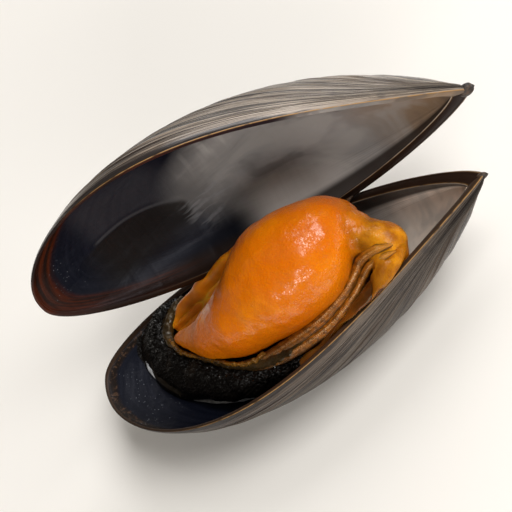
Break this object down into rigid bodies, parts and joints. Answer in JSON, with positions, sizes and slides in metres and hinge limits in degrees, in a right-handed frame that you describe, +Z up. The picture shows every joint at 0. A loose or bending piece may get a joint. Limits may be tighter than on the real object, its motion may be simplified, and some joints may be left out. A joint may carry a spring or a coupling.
{
  "type": "open mussel shell with meat",
  "caption": "Open cooked mussel: a long dark shell in two hinged valves with pearly insides and plump orange meat with a dark frilled edge in the lower valve.",
  "frame": {"origin": "centre of the bounding box's base, on the floor the shell rests on", "axes": "+Z up from the floor; +X roughly from the beaks towards the rounded ends; -Y towards the hinge side, +Y towards the open side"},
  "size_m": [0.0722, 0.0394, 0.0433],
  "materials": {
    "shell": "satin outside, glossy nacre inside",
    "ligament": "matt",
    "meat": "wet and glossy"
  },
  "bodies": {
    "root": {"lower_valve": "shell", "upper_valve": "shell", "ligament": "ligament", "meat": "meat"}
  },
  "joints": []
}
